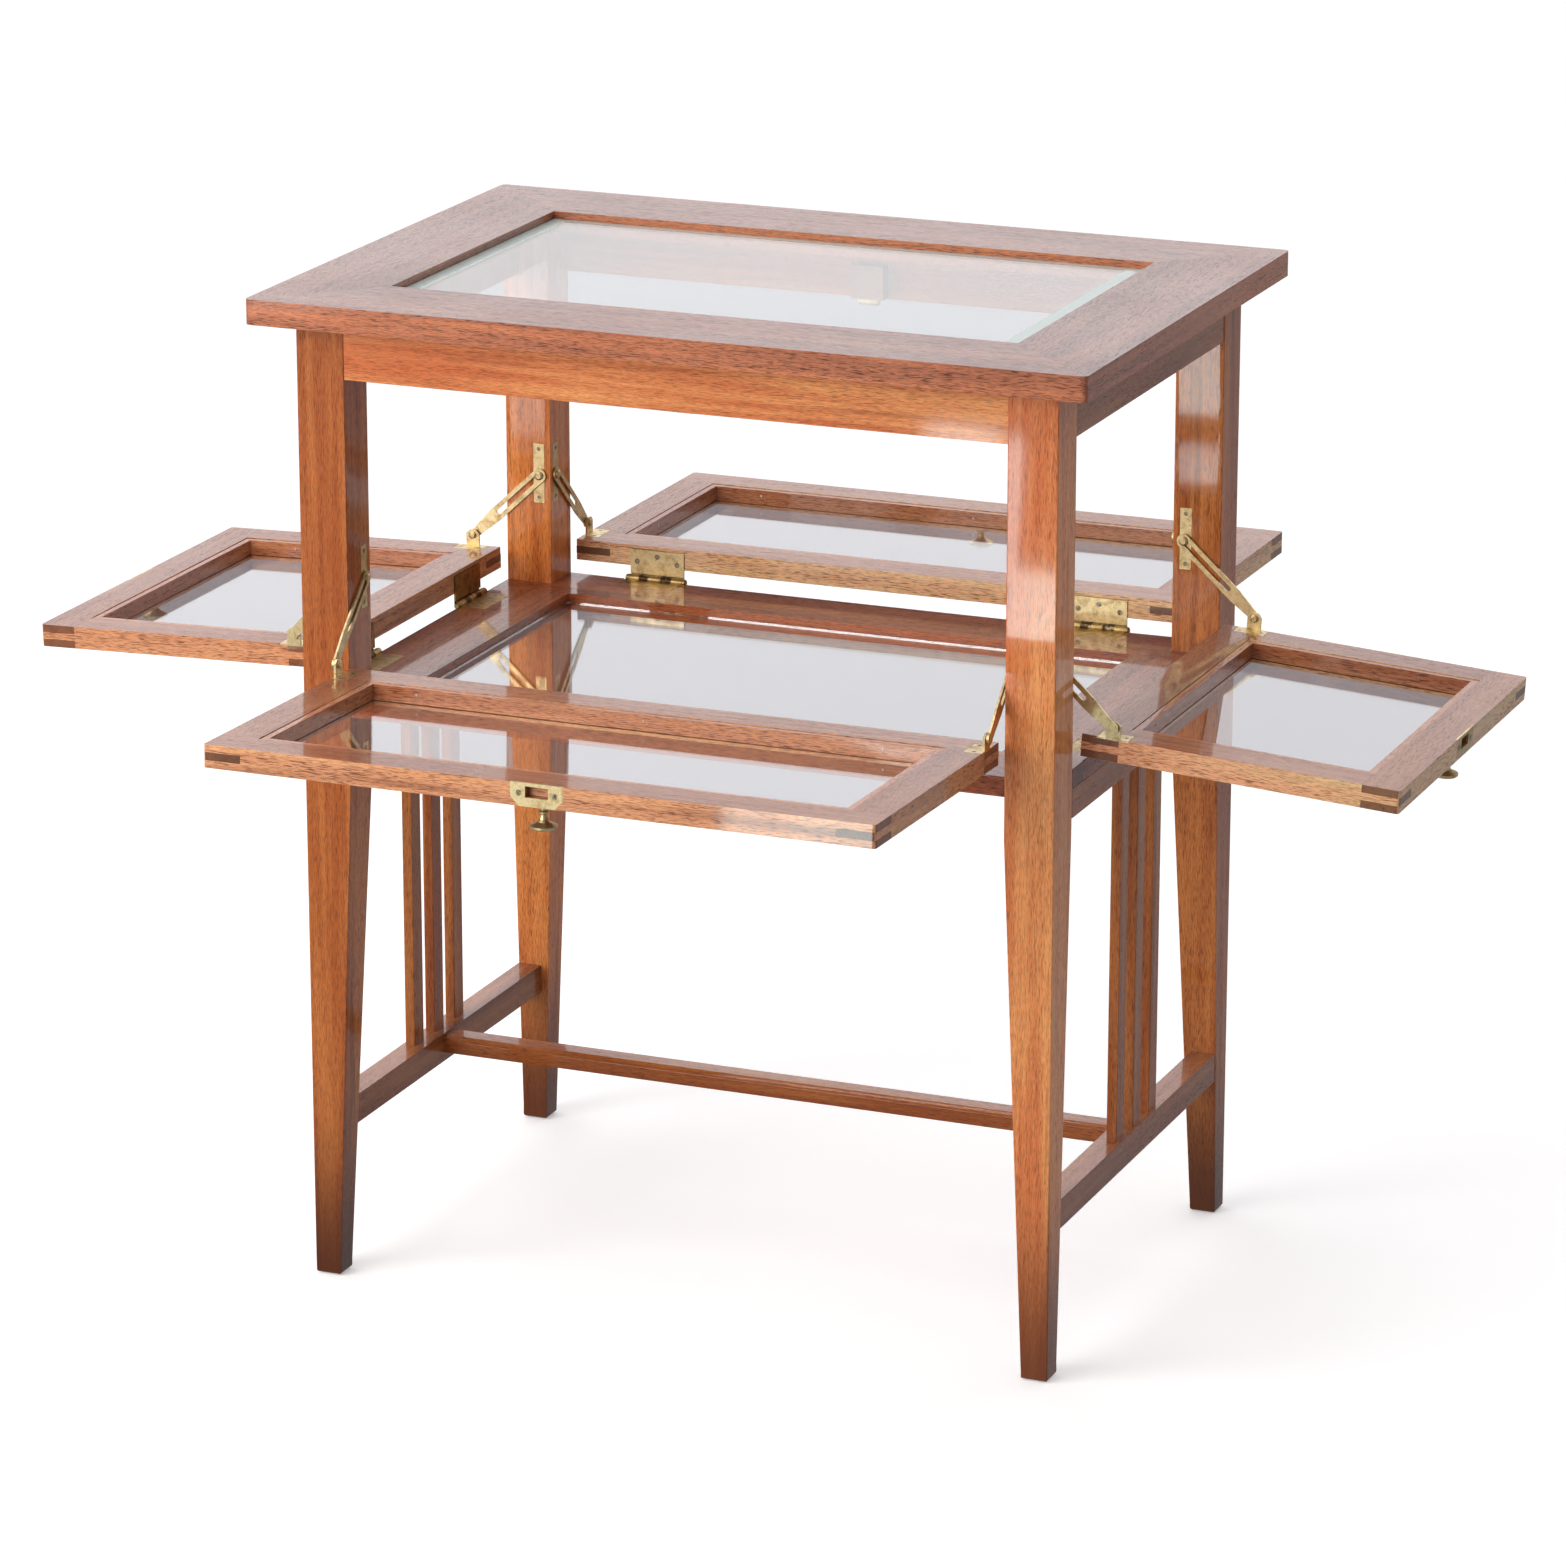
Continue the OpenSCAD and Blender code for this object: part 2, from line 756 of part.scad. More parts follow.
// An arm's own frame: X from the flap pivot to the guide pin, Z through its thickness
module arm_blank(reach) {
    neck = 3.3;
    slot_r = guide_r + run_gap;
    linear_extrude(arm_t) difference() {
        union() {
            circle(eye_r);
            polygon([[0, -neck], [slot_start - 4, -arm_w / 2], [reach, -arm_w / 2],
                [reach, arm_w / 2], [slot_start - 4, arm_w / 2], [0, neck]]);
            translate([reach, 0]) circle(arm_w / 2);
        }
        circle(pin_r + run_gap);
        translate([slot_start + slot_r, -slot_r]) square([reach - slot_start - slot_r, 2 * slot_r]);
        translate([slot_start + slot_r, 0]) circle(slot_r);
        translate([reach, 0]) circle(slot_r);
    }
}

// Places an arm's own frame with its outer face arm_off from the leg at the +X end
module arm_place(s) {
    p = pivot_at(s);
    translate([jamb_v(s) - arm_off, p[0], p[1]]) rotate([stay_angle(s), 0, 0])
        rotate([90, 0, 90]) mirror([0, 0, 1]) children();
}

module stay_arms(s) {
    boss_t = jamb_gap - arm_off - arm_t - run_gap;
    color("darkgoldenrod") at_hinge(s) both_ends() arm_place(s) {
        arm_blank(stay_reach(s));
        translate([0, 0, arm_t]) difference() {
            cylinder(r = eye_r, h = boss_t);
            translate([0, 0, -cut]) cylinder(r = pin_r + run_gap, h = boss_t + 2 * cut);
        }
    }
}

// Guide pins: a collar against the leg plate, a shank through the slot and a round head
module stay_pins(s) {
    color("darkgoldenrod") at_hinge(s) both_ends() arm_place(s) translate([stay_reach(s), 0, 0]) {
        translate([0, 0, -arm_off + 0.1]) cylinder(r = guide_head_r - 0.4, h = arm_off - 0.1 - run_gap);
        translate([0, 0, -arm_off + 0.2]) cylinder(r = guide_r, h = arm_off + arm_t);
        translate([0, 0, arm_t + run_gap]) cylinder(r = guide_head_r, h = 0.9);
        translate([0, 0, arm_t + run_gap + 0.9]) cylinder(r1 = guide_head_r, r2 = guide_head_r - 1.4, h = 0.7);
    }
}

module stay_plate_places(s) {
    at_hinge(s) both_ends() translate([jamb_v(s), -plate_in - hinge_out, plate_z - hinge_z])
        rotate([0, -90, 0]) children();
}

module plate_screw_places() {
    for (x = [-plate_screw_dz, plate_screw_dz]) translate([x, 0, 0]) children();
}

module stay_plate_beds() {
    for (s = SIDES) stay_plate_places(s) {
        long = plate_len / 2 + bed_gap;
        wide = plate_w / 2 + bed_gap;
        span([-long, -wide, -plate_t], [long, wide, cut]);
        plate_screw_places() screw_hole(small_screw_r);
    }
}

module stay_plates() {
    color("darkgoldenrod") for (s = SIDES) stay_plate_places(s) difference() {
        span([-plate_len / 2, -plate_w / 2, -plate_t], [plate_len / 2, plate_w / 2, 0]);
        plate_screw_places() screw_hole(small_screw_r);
    }
}

// ---- Strike plates, catches and knobs ----

// The strike's outline, let into the free edge; grow lifts it clear of the edge for cutting
module strike_blank(grow) {
    half = strike_len / 2;
    translate([0, flap_end + grow, 0]) rotate([90, 0, 0]) linear_extrude(strike_t + grow) polygon([
        [strike_chamfer - half, flap_low],
        [half - strike_chamfer, flap_low],
        [half, flap_low + strike_chamfer],
        [half, flap_high],
        [-half, flap_high],
        [-half, flap_low + strike_chamfer]
    ]);
}

module strike_screw_places() {
    for (v = [-strike_screw_v, strike_screw_v])
        translate([v, flap_end, flap_high - strike_screw_in]) rotate([-90, 0, 0]) children();
}

module strike_plate(s) {
    w = strike_window;
    color("darkgoldenrod") on_flap(s) translate([catch_v(s), 0, 0]) difference() {
        strike_blank(0);
        strike_screw_places() screw_hole(screw_r);
        span(
            [-w[0] / 2, flap_end - strike_t - cut, flap_high - strike_window_in - w[1]],
            [w[0] / 2, flap_end + cut, flap_high - strike_window_in]
        );
    }
}

module knob(s) {
    r = knob_d / 2;
    neck = 2.5;
    stem = 5;
    profile = [
        [0, -stem], [1.75, -stem], [1.75, 0], [4.2, 0], [4.2, 1.2], [neck, 1.8], [neck, 4.5],
        [3.3, 5.5], [3.3, 6.8], [neck, 7.8], [2.7, 9], [3.4, 11], [4.6, 12.8], [7, 14.2], [r, knob_len - 4.2],
        [r, knob_len - 2.6], [r - 1.3, knob_len - 1.6], [5, knob_len - 0.5], [0, knob_len]
    ];
    color("darkgoldenrod") on_flap(s) translate([catch_v(s), flap_end - knob_in, flap_low])
        mirror([0, 0, 1]) rotate_extrude() polygon(profile);
}

// Where a catch bolt stands across the closed flap, and its case on the apron's inner face
function bolt_u() = hinge_out - flap_high + strike_window_in + strike_window[1] / 2 - hinge_out;

module bolt_place(s) {
    at_hinge(s) translate([catch_v(s), bolt_u(), apron_z - hinge_z]) children();
}

module catch_bolt(s) {
    u = bolt_size[1] / 2;
    tip = 2.2;
    color("gold") bolt_place(s) translate([-bolt_size[0] / 2, 0, 0]) rotate([90, 0, 90])
        linear_extrude(bolt_size[0]) polygon([
            [tip - u, -bolt_out], [u - tip, -bolt_out], [u, tip - bolt_out],
            [u, bolt_len - bolt_out], [-u, bolt_len - bolt_out], [-u, tip - bolt_out]
        ]);
}

// The case is open below for the bolt and closed by the apron behind it
module catch_cases() {
    low = 1;
    half = catch_case[0] / 2;
    hole = bolt_size / 2 + [run_gap, run_gap];
    back = -apron_back - apron_t - hinge_out;
    color("darkgoldenrod") for (s = SIDES) difference() {
        at_hinge(s) translate([catch_v(s), 0, apron_z - hinge_z]) difference() {
            union() {
                span([-half, back - catch_case[1], low], [half, back, low + catch_case[2]]);
                span([-half - catch_lug, back - catch_wall, low + 8], [half + catch_lug, back, low + 18]);
            }
            span(
                [-hole[0], bolt_u() - hole[1], low - cut],
                [hole[0], bolt_u() + hole[1], low + catch_case[2] - catch_wall]
            );
        }
        catch_screws_place(s) screw_hole(small_screw_r);
    }
}

module catch_screws_place(s) {
    v = catch_case[0] / 2 + catch_lug / 2;
    back = -apron_back - apron_t - hinge_out - catch_wall;
    at_hinge(s) translate([catch_v(s), back, apron_z - hinge_z + 14])
        for (x = [-v, v]) translate([x, 0, 0]) rotate([90, 0, 0]) children();
}

// ---- Screws ----

module case_screws() {
    color("silver") for (s = SIDES) {
        at_hinge(s) each_hinge(s) hinge_screws_in_shelf() screw(screw_r, 25);
        stay_plate_places(s) plate_screw_places() screw(small_screw_r, 60);
        catch_screws_place(s) screw(small_screw_r, 10);
    }
}

module flap_screws(s) {
    color("silver") on_flap(s) {
        each_hinge(s) hinge_screws_in_flap() screw(screw_r, 40);
        stay_bases(s) base_screw_places() screw(small_screw_r, 15);
        translate([catch_v(s), 0, 0]) strike_screw_places() screw(screw_r, 70);
    }
}

leg(-1, -1);  // leg_front_left
leg(1, -1);  // leg_front_right
leg(-1, 1);  // leg_back_left
leg(1, 1);  // leg_back_right
top_frame();
top_glass();
upper_aprons();
shelf_frame();
shelf_glass();
end_aprons();
stretchers();
slats();
case_hinges();
stay_plates();
case_screws();
catch_cases();
flap_frame(FRONT);  // front_flap_frame
flap_beads(FRONT);  // front_flap_beads
flap_glass(FRONT);  // front_flap_glass
flap_hinge_leaves(FRONT);  // front_flap_hinge_leaves
stay_brackets(FRONT);  // front_stay_brackets
strike_plate(FRONT);  // front_strike_plate
knob(FRONT);  // front_knob
flap_screws(FRONT);  // front_flap_screws
stay_arms(FRONT);  // front_stay_arms
stay_pins(FRONT);  // front_stay_pins
catch_bolt(FRONT);  // front_catch_bolt
flap_frame(BACK);  // back_flap_frame
flap_beads(BACK);  // back_flap_beads
flap_glass(BACK);  // back_flap_glass
flap_hinge_leaves(BACK);  // back_flap_hinge_leaves
stay_brackets(BACK);  // back_stay_brackets
strike_plate(BACK);  // back_strike_plate
knob(BACK);  // back_knob
flap_screws(BACK);  // back_flap_screws
stay_arms(BACK);  // back_stay_arms
stay_pins(BACK);  // back_stay_pins
catch_bolt(BACK);  // back_catch_bolt
flap_frame(RIGHT);  // right_flap_frame
flap_beads(RIGHT);  // right_flap_beads
flap_glass(RIGHT);  // right_flap_glass
flap_hinge_leaves(RIGHT);  // right_flap_hinge_leaves
stay_brackets(RIGHT);  // right_stay_brackets
strike_plate(RIGHT);  // right_strike_plate
knob(RIGHT);  // right_knob
flap_screws(RIGHT);  // right_flap_screws
stay_arms(RIGHT);  // right_stay_arms
stay_pins(RIGHT);  // right_stay_pins
catch_bolt(RIGHT);  // right_catch_bolt
flap_frame(LEFT);  // left_flap_frame
flap_beads(LEFT);  // left_flap_beads
flap_glass(LEFT);  // left_flap_glass
flap_hinge_leaves(LEFT);  // left_flap_hinge_leaves
stay_brackets(LEFT);  // left_stay_brackets
strike_plate(LEFT);  // left_strike_plate
knob(LEFT);  // left_knob
flap_screws(LEFT);  // left_flap_screws
stay_arms(LEFT);  // left_stay_arms
stay_pins(LEFT);  // left_stay_pins
catch_bolt(LEFT);  // left_catch_bolt
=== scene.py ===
import json
import math

import bmesh
import bpy
from mathutils import Matrix, Vector


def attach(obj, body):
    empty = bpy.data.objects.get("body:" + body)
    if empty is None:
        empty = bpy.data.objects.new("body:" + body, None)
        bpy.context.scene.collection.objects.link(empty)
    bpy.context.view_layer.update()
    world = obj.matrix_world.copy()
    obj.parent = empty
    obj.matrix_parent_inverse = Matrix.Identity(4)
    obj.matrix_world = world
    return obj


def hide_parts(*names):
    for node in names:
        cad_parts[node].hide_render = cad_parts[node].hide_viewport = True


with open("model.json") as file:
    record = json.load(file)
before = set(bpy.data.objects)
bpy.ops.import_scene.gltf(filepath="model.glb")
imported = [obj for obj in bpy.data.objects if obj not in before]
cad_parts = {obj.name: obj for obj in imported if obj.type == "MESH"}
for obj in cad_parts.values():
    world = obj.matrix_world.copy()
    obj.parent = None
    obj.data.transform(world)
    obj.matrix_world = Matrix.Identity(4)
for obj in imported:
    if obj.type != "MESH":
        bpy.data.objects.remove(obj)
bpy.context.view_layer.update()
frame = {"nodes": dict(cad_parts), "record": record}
NODES = frame["nodes"]
JOINTS = {j["name"]: j for j in frame["record"]["behaviour"]["joints"]}
BODY_OF = {n: b for b, members in frame["record"]["behaviour"]["bodies"].items() for n in members}
SLOT_OF = {s["node"]: s["material_slot"] for s in frame["record"]["subparts"]}
SIDES = ("front", "back", "right", "left")
MM = 0.001
WELD = 0.002 * MM
FLAT_ANGLE = math.radians(0.4)
SMOOTH_ANGLE = math.radians(36)
ARRIS_ANGLE = math.radians(40)
BED_GAP = 0.06 * MM
BEVEL_SLOPE = (0.05, 0.998)
PIN_RADIUS, PIN_RISE, PIN_SIDES = 1.0 * MM, 0.35 * MM, 14
PIN_RINGS = ((1.0, -0.4), (1.0, 0.35), (0.72, 0.85), (0.36, 1.0))
BEAD_WALL = 5.5 * MM

# ---------------------------------------------------------------- camera, light and floor

CAMERA_AZIMUTH, CAMERA_ELEVATION = 22.36, 16.78
CAMERA_DISTANCE = 4.927
CAMERA_TARGET = Vector((0.0059, 0.0, 0.3681))
CAMERA_LENS = 149.9
ROOM = {"walls": 0.24, "sweep": 1.1, "side": 0.35, "high": 0.35, "below": 0.36}
HORIZON = (-0.06, 0.04)
COOL = (0.8, 0.98, 1.0)
SOFTBOXES = (
    # name, place, target, size, radiance, colour; the low boxes give the gloss on three of the legs
    ("front_box", (-1.05, -1.75, 1.05), (0.0, 0.0, 0.80), (1.9, 1.4), 3.4, (1.0, 0.95, 0.90)),
    ("leg_box", (-0.286, -1.75, 0.127), (-0.286, 0.0, 0.127), (0.09, 0.09), 14.0, (0.76, 0.98, 1.0)),
    ("rear_box", (-0.363, -1.75, 0.18), (-0.363, 0.0, 0.18), (0.08, 0.24), 12.0, COOL),
    ("left_box", (-1.16, -1.75, 0.18), (-1.16, 0.0, 0.18), (0.08, 0.24), 6.0, COOL),
    ("top_box", (-0.9, -1.1, 2.6), (0.0, 0.0, 0.4), (0.8, 0.5), 5.0, (1.0, 0.98, 0.96)),
)


def direction(azimuth, elevation):
    """The way from the table to a viewer at this azimuth (from the front, to the right) and elevation."""
    a, e = math.radians(azimuth), math.radians(elevation)
    return Vector((math.sin(a) * math.cos(e), -math.cos(a) * math.cos(e), math.sin(e)))


def aim(obj, target):
    obj.rotation_mode = "QUATERNION"
    obj.rotation_quaternion = (target - obj.location).to_track_quat("-Z", "Y")


def make_camera():
    data = bpy.data.cameras.new("camera")
    data.lens = CAMERA_LENS
    data.sensor_width = 36.0
    data.clip_start, data.clip_end = 0.05, 100.0
    cam = bpy.data.objects.new("camera", data)
    bpy.context.collection.objects.link(cam)
    cam.location = CAMERA_TARGET + direction(CAMERA_AZIMUTH, CAMERA_ELEVATION) * CAMERA_DISTANCE
    aim(cam, CAMERA_TARGET)
    bpy.context.scene.camera = cam


def softbox(name, place, target, size, radiance, colour):
    """An area lamp of an even radiance that the camera doesn't see."""
    data = bpy.data.lights.new(name, "AREA")
    data.shape = "RECTANGLE"
    data.size, data.size_y = size
    data.energy = radiance * math.pi * size[0] * size[1]
    data.color = colour
    lamp = bpy.data.objects.new(name, data)
    bpy.context.collection.objects.link(lamp)
    lamp.location = Vector(place)
    lamp.visible_camera = False
    aim(lamp, Vector(target))


def make_world():
    """A soft room: a bright sweep behind the table, paler to the left and overhead, dim elsewhere."""
    world = bpy.data.worlds.new("studio")
    bpy.context.scene.world = world
    world.use_nodes = True
    nt = world.node_tree
    nt.nodes.clear()
    out = nt.nodes.new("ShaderNodeOutputWorld")
    back = nt.nodes.new("ShaderNodeBackground")
    where = nt.nodes.new("ShaderNodeTexCoord").outputs["Generated"]
    split = nt.nodes.new("ShaderNodeSeparateXYZ")
    nt.links.new(where, split.inputs[0])
    height = split.outputs["Z"]
    ahead = vector_node(nt, "DOT_PRODUCT", where, tuple(direction(CAMERA_AZIMUTH + 180, 0)))
    leftward = vector_node(nt, "DOT_PRODUCT", where, (-0.9, -0.44, 0.0))
    sweep = ramp(nt, ahead, 0.1, 0.9, 0.0, ROOM["sweep"])
    side = ramp(nt, leftward, -0.2, 0.9, 0.0, ROOM["side"])
    high = ramp(nt, height, 0.2, 1.0, 0.0, ROOM["high"])
    slanting = math_node(nt, "ADD", sweep, side)
    walls = math_node(nt, "ADD", slanting, math_node(nt, "ADD", high, ROOM["walls"]))
    above = ramp(nt, height, *HORIZON)
    below = ramp(nt, height, *HORIZON, ROOM["below"], 0.0)
    nt.links.new(math_node(nt, "MULTIPLY_ADD", walls, above, below), back.inputs["Strength"])
    nt.links.new(mix(nt, above, (0.96, 0.95, 1.0, 1), (1.0, 0.985, 1.0, 1)), back.inputs["Color"])
    nt.links.new(back.outputs[0], out.inputs["Surface"])


def make_floor():
    """A white floor that only the camera and the shadows see; the room alone lights the table."""
    half = 30.0
    corners = [(-half, -half, 0), (half, -half, 0), (half, half, 0), (-half, half, 0)]
    mesh = bpy.data.meshes.new("floor")
    mesh.from_pydata(corners, [], [(0, 1, 2, 3)])
    floor = bpy.data.objects.new("floor", mesh)
    bpy.context.collection.objects.link(floor)
    floor.visible_diffuse = floor.visible_glossy = floor.visible_transmission = False
    mat, _, bsdf = new_material("floor_paper")
    bsdf.inputs["Base Color"].default_value = (0.94, 0.94, 0.945, 1)
    bsdf.inputs["Roughness"].default_value = 0.9
    bsdf.inputs["Specular IOR Level"].default_value = 0.1
    bsdf.inputs["Emission Color"].default_value = (1.0, 1.0, 1.0, 1)
    bsdf.inputs["Emission Strength"].default_value = 0.3
    mesh.materials.append(mat)


# ---------------------------------------------------------------- node helpers


def srgb(r, g, b):
    def channel(v):
        v /= 255.0
        return v / 12.92 if v <= 0.04045 else ((v + 0.055) / 1.055) ** 2.4

    return (channel(r), channel(g), channel(b), 1.0)


def new_material(name):
    mat = bpy.data.materials.new(name)
    mat.use_nodes = True
    nt = mat.node_tree
    nt.nodes.clear()
    out = nt.nodes.new("ShaderNodeOutputMaterial")
    bsdf = nt.nodes.new("ShaderNodeBsdfPrincipled")
    nt.links.new(bsdf.outputs[0], out.inputs["Surface"])
    return mat, nt, bsdf


def put(nt, socket, value):
    """Links a socket to another, or sets it to a plain value."""
    if isinstance(value, bpy.types.NodeSocket):
        nt.links.new(value, socket)
    else:
        socket.default_value = value


def math_node(nt, operation, a, b=0.0, c=0.0):
    n = nt.nodes.new("ShaderNodeMath")
    n.operation = operation
    put(nt, n.inputs[0], a)
    put(nt, n.inputs[1], b)
    put(nt, n.inputs[2], c)
    return n.outputs[0]


def vector_node(nt, operation, a, b=(0, 0, 0)):
    """A vector sum or product, or the number that a dot product or length gives."""
    n = nt.nodes.new("ShaderNodeVectorMath")
    n.operation = operation
    put(nt, n.inputs[0], a)
    put(nt, n.inputs[1], b)
    return n.outputs["Value"] if operation in ("DOT_PRODUCT", "LENGTH") else n.outputs[0]


def noise(nt, vector, scale=1.0, detail=2.0, rough=0.5, distortion=0.0):
    """Noise between 0 and 1, with about scale blotches a metre."""
    n = nt.nodes.new("ShaderNodeTexNoise")
    put(nt, n.inputs["Vector"], vector)
    n.inputs["Scale"].default_value = scale
    n.inputs["Detail"].default_value = detail
    n.inputs["Roughness"].default_value = rough
    n.inputs["Distortion"].default_value = distortion
    return n.outputs["Fac"]


def ramp(nt, value, low, high, a=0.0, b=1.0):
    """Goes smoothly from a to b as value goes from low to high."""
    n = nt.nodes.new("ShaderNodeMapRange")
    n.interpolation_type = "SMOOTHSTEP"
    put(nt, n.inputs["Value"], value)
    for name, v in (("From Min", low), ("From Max", high), ("To Min", a), ("To Max", b)):
        n.inputs[name].default_value = v
    return n.outputs[0]


def mix(nt, fac, a, b, blend="MIX"):
    n = nt.nodes.new("ShaderNodeMix")
    n.data_type = "RGBA"
    n.blend_type = blend
    n.clamp_factor = True
    put(nt, n.inputs[0], fac)
    put(nt, n.inputs[6], a)
    put(nt, n.inputs[7], b)
    return n.outputs[2]


def bump(nt, bsdf, height, strength, distance):
    n = nt.nodes.new("ShaderNodeBump")
    n.inputs["Strength"].default_value = strength
    n.inputs["Distance"].default_value = distance
    put(nt, n.inputs["Height"], height)
    nt.links.new(n.outputs[0], bsdf.inputs["Normal"])


def object_coords(nt):
    return nt.nodes.new("ShaderNodeTexCoord").outputs["Object"]


def along_normal(nt, way):
    """1 where the surface faces way or its opposite, both in the object's own axes, and 0 beside them."""
    normal = nt.nodes.new("ShaderNodeTexCoord").outputs["Normal"]
    return math_node(nt, "ABSOLUTE", vector_node(nt, "DOT_PRODUCT", normal, tuple(way)))


# ---------------------------------------------------------------- wood

WOOD_LOOKS = {
    # light streak, dark streak, pores, end grain
    "frame": (srgb(209, 131, 68), srgb(168, 88, 38), srgb(100, 46, 18), srgb(118, 60, 36)),
    "apron": (srgb(236, 154, 94), srgb(194, 106, 60), srgb(128, 66, 32), srgb(118, 60, 36)),
    "top": (srgb(160, 88, 50), srgb(120, 58, 32), srgb(56, 27, 18), srgb(96, 50, 36)),
    "stile": (srgb(214, 136, 80), srgb(178, 98, 50), srgb(112, 56, 32), srgb(84, 42, 32)),
    "rail": (srgb(214, 136, 80), srgb(178, 98, 50), srgb(112, 56, 32), srgb(124, 66, 44)),
    "bead": (srgb(218, 148, 104), srgb(182, 106, 68), srgb(96, 44, 26), srgb(104, 56, 40)),
}
TONE_STEPS = (0.94, 1.05, 1.0, 0.97)
FLAP_EDGE_WEAR_LIGHT_SHEEN = {
    # tone of a flap's edges against its faces, worn edge grain together with painted light, and their
    # paleness, a painted sheen
    "front": (2.2, 0.12),
    "back": (2.5, 0.20),
    "right": (2.9, 0.20),
    "left": (2.2, 0.12),
}
made_woods = {}


def toned(colour, tone):
    """A colour tone times as light."""
    return tuple(min(1.0, c * tone) for c in colour[:3]) + (1.0,)


def paled(colour, tone, pale):
    """A colour tone times as light, with pale added to its green and a little less to its blue."""
    r, g, b, a = toned(colour, tone)
    return (r, min(1.0, g + pale), min(1.0, b + 0.9 * pale), a)


def wood(look, grain, seed, tone=1.0, face_up=None, edge_wear_and_light=1.0, edge_sheen=0.0):
    """Lacquered open-grained wood. grain is the way its fibres run and face_up the way its broad faces
    look, both in the object's own axes; its edges are edge_wear_and_light times as light as those
    faces, worn edge grain together with painted light, and paler by edge_sheen, a painted sheen."""
    key = (look, tuple(round(c, 3) for c in grain), seed)
    if key in made_woods:
        return made_woods[key]
    light, dark, pore_colour, end_colour = [toned(c, tone) for c in WOOD_LOOKS[look]]
    mat, nt, bsdf = new_material("wood_%s_%d" % (look, len(made_woods)))
    grain = Vector(grain).normalized()
    across = grain.orthogonal().normalized()
    third = grain.cross(across)
    where = vector_node(nt, "ADD", object_coords(nt), (seed * 1.37, seed * 0.71, seed * 2.13))
    along = vector_node(nt, "DOT_PRODUCT", where, tuple(grain))
    u = vector_node(nt, "DOT_PRODUCT", where, tuple(across))
    v = vector_node(nt, "DOT_PRODUCT", where, tuple(third))

    def stretched(k_along, k_across):
        """Coordinates in which noise has k_along blotches a metre along the grain, k_across across it."""
        n = nt.nodes.new("ShaderNodeCombineXYZ")
        put(nt, n.inputs[0], math_node(nt, "MULTIPLY", along, k_along))
        put(nt, n.inputs[1], math_node(nt, "MULTIPLY", u, k_across))
        put(nt, n.inputs[2], math_node(nt, "MULTIPLY", v, k_across))
        return n.outputs[0]

    broad = noise(nt, stretched(1.6, 22.0), detail=3.0, distortion=0.6)
    streaks = noise(nt, stretched(5.0, 150.0), detail=3.0, rough=0.5)
    fibres = noise(nt, stretched(45.0, 1300.0), detail=2.0)
    pores = noise(nt, stretched(120.0, 1700.0), detail=0.5)
    fine_pores = noise(nt, stretched(210.0, 3000.0), detail=0.0)
    clouds = noise(nt, where, scale=9.0, detail=2.0)

    figure = math_node(nt, "MULTIPLY_ADD", broad, 0.6, math_node(nt, "MULTIPLY", streaks, 0.4))
    if face_up is not None:
        on_face = along_normal(nt, face_up)
        # edges painted lighter and paler than the broad faces: worn edge grain, with painted light and a
        # painted sheen
        on_edge = ramp(nt, on_face, 0.55, 0.85, 1.0, 0.0)
        light = mix(nt, on_edge, light, paled(light, edge_wear_and_light, edge_sheen))
        dark = mix(nt, on_edge, dark, paled(dark, edge_wear_and_light, edge_sheen))
    colour = mix(nt, ramp(nt, figure, 0.38, 0.64), light, dark)
    colour = mix(nt, ramp(nt, fibres, 0.35, 0.8, 0.0, 0.5), colour, dark)
    veins = noise(nt, stretched(2.4, 75.0), detail=2.0, distortion=0.5)
    colour = mix(nt, ramp(nt, veins, 0.60, 0.74, 0.0, 0.5), colour, pore_colour)
    colour = mix(nt, ramp(nt, clouds, 0.35, 0.75, 0.0, 0.12), colour, dark, "MULTIPLY")
    pore_mask = ramp(nt, pores, 0.55, 0.68)
    pore_mask = math_node(nt, "MULTIPLY", pore_mask, ramp(nt, streaks, 0.35, 0.6, 0.55, 1.0))
    fine_mask = ramp(nt, fine_pores, 0.56, 0.70, 0.0, 0.6)
    pore_mask = math_node(nt, "MAXIMUM", pore_mask, fine_mask)
    pore_depth = 0.7 if look in ("frame", "apron") else 0.8
    colour = mix(nt, math_node(nt, "MULTIPLY", pore_mask, pore_depth), colour, pore_colour)
    if look in ("frame", "apron"):
        split = nt.nodes.new("ShaderNodeSeparateXYZ")
        nt.links.new(object_coords(nt), split.inputs[0])
        # darker towards the floor, most at the feet and fading out by about 0.2 m up
        height = math_node(nt, "MULTIPLY_ADD", broad, 0.05, split.outputs["Z"])
        darker_near_floor = ramp(nt, height, 0.025, 0.20, 0.92, 0.0)
        colour = mix(nt, darker_near_floor, colour, toned(pore_colour, 0.55))
    across_fibres = ramp(nt, along_normal(nt, grain), 0.75, 0.95, 0.0, 0.8)
    colour = mix(nt, across_fibres, colour, end_colour)
    nt.links.new(colour, bsdf.inputs["Base Color"])

    rough = math_node(nt, "MULTIPLY_ADD", pore_mask, 0.25, ramp(nt, clouds, 0.3, 0.7, 0.24, 0.34))
    nt.links.new(rough, bsdf.inputs["Roughness"])
    bsdf.inputs["Specular IOR Level"].default_value = 0.15
    bsdf.inputs["Coat Weight"].default_value = 0.6
    bsdf.inputs["Coat Roughness"].default_value = 0.055
    bsdf.inputs["Coat IOR"].default_value = 1.5
    relief = math_node(nt, "SUBTRACT", math_node(nt, "MULTIPLY", fibres, 0.25), pore_mask)
    bump(nt, bsdf, relief, 0.5, 0.25 * MM)
    made_woods[key] = mat
    return mat


# ---------------------------------------------------------------- metal and glass


